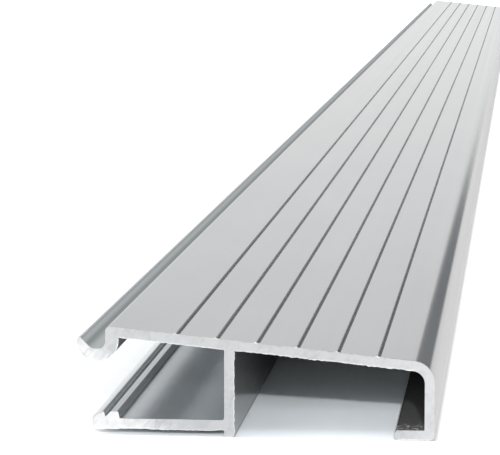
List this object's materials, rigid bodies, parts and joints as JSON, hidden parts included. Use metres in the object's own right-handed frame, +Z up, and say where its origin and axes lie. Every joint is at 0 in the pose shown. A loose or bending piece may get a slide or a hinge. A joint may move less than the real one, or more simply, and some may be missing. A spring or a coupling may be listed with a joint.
{
  "type": "aluminium extrusion profile",
  "caption": "Extruded aluminium threshold profile with a sloping grooved tread, hooked edge trough, web, ridged shelf and rounded nose with a return lip.",
  "frame": {"origin": "on the floor, under the middle of the section's width and of the stock's length", "axes": "+X across the section from the hooked edge to the nose, +Y along the extrusion, +Z up"},
  "size_m": [0.07, 2, 0.0214],
  "materials": {
    "mill_aluminium": "satin mill finish with sawn ends"
  },
  "bodies": {
    "root": {"extrusion_profile": "mill_aluminium"}
  },
  "joints": []
}
